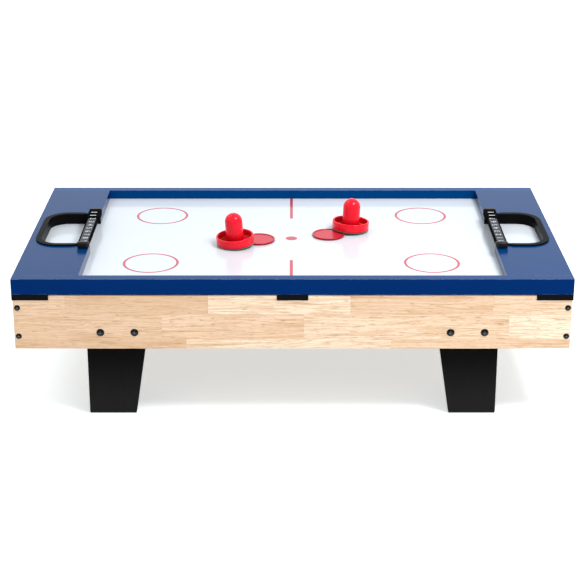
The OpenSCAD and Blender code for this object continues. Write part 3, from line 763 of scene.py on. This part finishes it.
def puck_profile(radius, thick):
    """The same on both faces: a dished face inside a raised rim."""
    dish = radius - PUCK_RIM - PUCK_SLOPE
    rim = radius - PUCK_RIM + PUCK_RIM_STEP
    half = [(0.0, thick - PUCK_DIP), (dish, thick - PUCK_DIP)]
    half += arc(dish, thick - PUCK_DIP + PUCK_FILLET, PUCK_FILLET, -90, -10, 4)
    half += arc(rim, thick - PUCK_RIM_EDGE, PUCK_RIM_EDGE, 170, 90, 3)
    half += arc(radius - PUCK_EDGE, thick - PUCK_EDGE, PUCK_EDGE, 90, 0, 5)
    return half + [(r, thick - z) for r, z in reversed(half)]


def pusher(side):
    """Body and felt pad, both on the axis of the CAD pad."""
    body = "pusher_" + side
    base, radius, pad = disc_frame("pusher_pad_" + side)
    mesh = lathe(body, pusher_profile(radius, pad), base)
    new_object(f"pusher_body_{side}", mesh, MATERIALS["red_plastic"], body, body, slot="red_plastic")
    ring = arc(radius - PAD_EDGE, PAD_EDGE, PAD_EDGE, -90, 0, 4)
    ring += [(radius - PAD_INSET, pad), (PUSHER_HOLLOW, pad), (PUSHER_HOLLOW, 0.0)]
    mesh = lathe("pad_" + side, ring, base)
    new_object(f"felt_pad_{side}", mesh, MATERIALS["felt"], body, "pusher_pad_" + side, slot="felt")


def puck(side):
    """Disc in the place of the CAD puck."""
    low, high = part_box("puck_" + side)
    place = Matrix.Translation(((low.x + high.x) / 2, (low.y + high.y) / 2, low.z))
    mesh = lathe("puck_" + side, puck_profile((high.x - low.x) / 2, high.z - low.z), place)
    new_object(f"puck_disc_{side}", mesh, puck_red(side), "puck_" + side, "puck_" + side,
               slot="red_plastic")


for side in ("left", "right"):
    pusher(side)
    puck(side)


# ---------- score bars ----------

BAR_TOP = RAIL_TOP + 9.5 * MM
BAR_HEAD = 7 * MM
BAR_INSET = 1.0 * MM
BAR_NECK = 2 * MM
BAR_CHAMFER = 1.2 * MM
IN_NEAR_BLOCK = 2 * MM
IN_FAR_BLOCK = 1 * MM
STRIP_HALF_W = 7.8 * MM
STRIP_BOTTOM = BAR_TOP - 0.5 * MM
STRIP_TOP = BAR_TOP + 0.08 * MM

NEAR_BLOCK = 13 * MM
NEAR_RADIUS = 6 * MM
NEAR_DOME = 3.8 * MM
FAR_GAP = 0.3 * MM
FAR_RADIUS = 8 * MM
FAR_DOME = 2.2 * MM
DOME_ANGLE = 50.0

NUMBERS = 10
NUMBER_SIZE = 15 * MM
NUMBER_PITCH = 19.2 * MM
FIRST_NUMBER = 4.5 * MM
NUMBER_HALF_T = 0.05 * MM
NUMBER_LIFT = 0.03 * MM

CURSOR_WALL = 1.4 * MM
CURSOR_ROOF = 1.6 * MM
CURSOR_SHOULDER = 2.4 * MM
CURSOR_HOOK = 1.6 * MM
HOOK_TOP = RAIL_TOP + 2.2 * MM
RIDGE_RISE = 1.2 * MM
RIDGE_HALF_W = 1.5 * MM
RIDGE_REACH = 7.0 * MM
RIDGE_CORNER = 1.4 * MM
RIDGE_PLACES = (-16.8 * MM, 2.6 * MM)
RIDGE_ROOT = 0.3 * MM
STRIPE_THICK = 0.1 * MM
STRIPE_CORNER = 1.0 * MM
STRIPE_ROOT = 0.2 * MM
STRIPE_END = 0.8 * MM
STRIPE_SIDE = 0.2 * MM


def rounded_rectangle(x_middle, x_half, y_middle, y_half, radius):
    """A closed outline, from its far right corner round to the left."""
    corners = ((1, 1, 0), (-1, 1, 90), (-1, -1, 180), (1, -1, 270))
    return [point for sx, sy, start in corners
            for point in arc(x_middle + sx * (x_half - radius), y_middle + sy * (y_half - radius),
                             radius, start, start + 90, 6)]


def mirrored(right, middle):
    """A closed outline from its right half, given as offsets from the middle."""
    outline = right + [(-x, z) for x, z in reversed(right)]
    return [(middle + x, z) for x, z in outline]


def numeral(digit):
    """The solid of one digit, centred on the origin."""
    text = bpy.data.curves.new("numeral", "FONT")
    text.body = str(digit)
    text.size = NUMBER_SIZE
    text.extrude = NUMBER_HALF_T
    text.align_x = "CENTER"
    text.align_y = "CENTER"
    holder = link("numeral", text)
    bpy.context.view_layer.update()
    evaluated = holder.evaluated_get(bpy.context.evaluated_depsgraph_get())
    solid = bpy.data.meshes.new_from_object(evaluated)
    bpy.data.objects.remove(holder)
    bpy.data.curves.remove(text)
    return solid


def numbers_mesh(digits, places, turn):
    """White printed numerals, a tenth of a millimetre thick, as one mesh."""
    bm = bmesh.new()
    for digit, place in zip(digits, places):
        solid = numeral(digit)
        solid.transform(Matrix.Translation(place) @ Matrix.Rotation(turn, 4, "Z"))
        bm.from_mesh(solid)
        bpy.data.meshes.remove(solid)
    return to_mesh(bm, "numbers")


def bar_rail(side, middle, half, start, end):
    """The bar's rail, a narrow neck under a chamfered head, and the label strip let into it."""
    shoulder = BAR_TOP - BAR_HEAD
    right = [(half - BAR_NECK, RAIL_TOP), (half - BAR_NECK, shoulder), (half, shoulder),
             (half, BAR_TOP - BAR_CHAMFER), (half - BAR_CHAMFER, BAR_TOP)]
    bm = bmesh.new()
    prism(bm, mirrored(right, middle), start, end, along_y=True)
    mesh = bevelled(bm, "score_rail_" + side, bevel=0.25 * MM, segments=2)
    new_object(f"score_rail_{side}", mesh, BAR_BLACK, "table", "score_bar_" + side,
               slot="black_plastic")
    bm = bmesh.new()
    prism(bm, mirrored([(STRIP_HALF_W, start), (STRIP_HALF_W, end)], middle), STRIP_BOTTOM, STRIP_TOP)
    mesh = bevelled(bm, "score_strip", bevel=0.06 * MM, segments=1)
    new_object(f"score_strip_{side}", mesh, LABEL_STRIP, "table", slot="black_plastic")


def end_blocks(side, low, high, far_block):
    """Domed blocks at the bar's ends, rounded in plan at their outer corners."""
    near = [(high.x, low.y + NEAR_BLOCK), (low.x, low.y + NEAR_BLOCK)]
    near += arc(low.x + NEAR_RADIUS, low.y + NEAR_RADIUS, NEAR_RADIUS, 180, 270, 7)
    near += arc(high.x - NEAR_RADIUS, low.y + NEAR_RADIUS, NEAR_RADIUS, 270, 360, 7)
    far = [(low.x, high.y - far_block), (high.x, high.y - far_block)]
    far += arc(high.x - FAR_RADIUS, high.y - FAR_RADIUS, FAR_RADIUS, 0, 90, 6)
    far += arc(low.x + FAR_RADIUS, high.y - FAR_RADIUS, FAR_RADIUS, 90, 180, 6)
    for place, outline, dome in (("near", near, NEAR_DOME), ("far", far, FAR_DOME)):
        bm = bmesh.new()
        prism(bm, outline, RAIL_TOP, high.z)
        mesh = bevelled(bm, "score_end", bevel=dome, segments=6, angle=DOME_ANGLE)
        new_object(f"score_end_{place}_{side}", mesh, CAP_PLASTIC, "table", slot="black_plastic")


def score_bar(side, sign):
    """Black bar with a numbered strip let into its top, between two domed end blocks."""
    low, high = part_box("score_bar_" + side)
    _, cursor_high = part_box("score_cursor_" + side)
    middle = (low.x + high.x) / 2
    half = (high.x - low.x) / 2 - BAR_INSET
    far_block = high.y - cursor_high.y - FAR_GAP
    start = low.y + NEAR_BLOCK - IN_NEAR_BLOCK
    end = high.y - far_block + IN_FAR_BLOCK
    bar_rail(side, middle, half, start, end)
    end_blocks(side, low, high, far_block)
    digits = range(NUMBERS) if sign > 0 else reversed(range(NUMBERS))
    first = low.y + NEAR_BLOCK + FIRST_NUMBER
    places = [Vector((middle, first + NUMBER_PITCH * i, STRIP_TOP + NUMBER_LIFT))
              for i in range(NUMBERS)]
    mesh = numbers_mesh(digits, places, math.radians(90.0 * sign))
    new_object(f"score_numbers_{side}", mesh, PRINT_AND_HIGHLIGHT_WHITE, "table")


def cursor_outline(low, high, middle, top):
    """The saddle across the bar: rounded shoulders outside, small inward hooks at its foot."""
    half = (high.x - low.x) / 2
    inner = half - CURSOR_WALL
    right = [(inner - CURSOR_HOOK, low.z), (half, low.z), (half, top - CURSOR_SHOULDER)]
    right += arc(half - CURSOR_SHOULDER, top - CURSOR_SHOULDER, CURSOR_SHOULDER, 15, 90, 5)
    hollow = [(inner, top - CURSOR_ROOF), (inner, HOOK_TOP), (inner - CURSOR_HOOK, HOOK_TOP)]
    outline = right + [(-x, z) for x, z in reversed(right)]
    outline += [(-x, z) for x, z in reversed(hollow)] + hollow
    return [(middle + x, z) for x, z in outline]


def score_cursor(side):
    """Saddle with two thumb ridges, each with a painted highlight stripe on top."""
    name = "score_cursor_" + side
    low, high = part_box("score_cursor_" + side)
    middle = (low.x + high.x) / 2
    centre_y = (low.y + high.y) / 2
    top = high.z - RIDGE_RISE
    crest = high.z - STRIPE_THICK
    saddle = bmesh.new()
    ridge_highlights = bmesh.new()
    prism(saddle, cursor_outline(low, high, middle, top), low.y, high.y, along_y=True)
    for place in RIDGE_PLACES:
        y = centre_y + place
        outline = rounded_rectangle(middle, RIDGE_REACH, y, RIDGE_HALF_W, RIDGE_CORNER)
        prism(saddle, outline, top - RIDGE_ROOT, crest)
        # The stripes are painted highlights on the ridge tops, in the white print material.
        outline = rounded_rectangle(middle, RIDGE_REACH - STRIPE_END, y, RIDGE_HALF_W - STRIPE_SIDE,
                                    STRIPE_CORNER)
        prism(ridge_highlights, outline, crest - STRIPE_ROOT, high.z)
    mesh = bevelled(saddle, "score_slider", bevel=0.3 * MM, segments=2)
    new_object(f"score_slider_{side}", mesh, BAR_BLACK, name, name, slot="black_plastic")
    mesh = bevelled(ridge_highlights, "score_ridge_highlights", bevel=0.05 * MM, segments=1)
    new_object(f"score_ridge_highlights_{side}", mesh, PRINT_AND_HIGHLIGHT_WHITE, name)


for side, sign in (("left", -1), ("right", 1)):
    score_bar(side, sign)
    score_cursor(side)


# ---------- floor, light and camera ----------

FLOOR_HALF = 60.0
FLOOR_THICK = 0.01
FLOOR_GLOW = 0.47
FLOOR_GLOW_COLOUR = (0.86, 0.96, 1.0, 1.0)
FLOOR_GREYS = (0.93, 0.93, 0.93), (0.95, 0.95, 0.95)

WORLD_COLOUR = (0.91, 0.965, 1.0, 1.0)
WORLD_FRONT = 0.62
WORLD_REAR = 1.12

KEY_LIGHT = {"place": (1.1, -0.9, 2.3), "aim": (0.0, 0.0, 0.25), "size": 0.9, "power": 50.0}
FILL_LIGHT = {"place": (-1.6, 0.9, 2.4), "aim": (0.0, 0.0, 0.2), "size": 1.6, "power": 10.0}

CAMERA_PLACE = (0.0, -2.8616, 1.2605)
CAMERA_DOWN = 19.149
CAMERA_LENS = 94.695
CAMERA_SENSOR = 36.0
CAMERA_SHIFT_Y = -0.1026


def floor():
    """Pale floor that glows a little, so that it stays nearly white under the soft light."""
    g = Graph("pale_floor", 0.7, Emission_Strength=FLOOR_GLOW, Emission_Color=FLOOR_GLOW_COLOUR)
    g.colour(g.mix(g.noise(2.0), *FLOOR_GREYS))
    half = FLOOR_HALF
    bm = bmesh.new()
    prism(bm, [(-half, -half), (half, -half), (half, half), (-half, half)], -FLOOR_THICK, 0.0)
    bmesh.ops.recalc_face_normals(bm, faces=bm.faces)
    obj = link("floor", to_mesh(bm, "floor"))
    obj.data.materials.append(g.material)


def area_light(name, place, aim, size, power):
    """Round area light at place, turned to aim."""
    data = bpy.data.lights.new(name, "AREA")
    data.shape = "DISK"
    data.size = size
    data.energy = power
    obj = link(name, data)
    obj.location = place
    obj.rotation_mode = "QUATERNION"
    obj.rotation_quaternion = (Vector(aim) - Vector(place)).to_track_quat("-Z", "Y")


def studio():
    """Pale surroundings, brighter behind the table, with a key and a wide weak fill overhead."""
    world = bpy.data.worlds.new("studio")
    bpy.context.scene.world = world
    world.use_nodes = True
    tree = world.node_tree
    background = tree.nodes["Background"]
    place = tree.nodes.new("ShaderNodeTexCoord")
    split = tree.nodes.new("ShaderNodeSeparateXYZ")
    spread = tree.nodes.new("ShaderNodeMapRange")
    tree.links.new(place.outputs["Generated"], split.inputs[0])
    tree.links.new(split.outputs["Y"], spread.inputs["Value"])
    spread.inputs["From Min"].default_value = -1.0
    spread.inputs["To Min"].default_value = WORLD_FRONT
    spread.inputs["To Max"].default_value = WORLD_REAR
    tree.links.new(spread.outputs[0], background.inputs["Strength"])
    background.inputs["Color"].default_value = WORLD_COLOUR
    area_light("key", **KEY_LIGHT)
    area_light("fill", **FILL_LIGHT)


def camera():
    """The photograph's viewing angle, from in front of the table and above it."""
    data = bpy.data.cameras.new("camera")
    data.sensor_width = CAMERA_SENSOR
    data.lens = CAMERA_LENS
    data.shift_y = CAMERA_SHIFT_Y
    obj = link("camera", data)
    obj.location = CAMERA_PLACE
    obj.rotation_euler = (math.radians(90.0 - CAMERA_DOWN), 0.0, 0.0)
    bpy.context.scene.camera = obj


floor()
studio()
camera()
bpy.context.scene.view_settings.view_transform = "Standard"
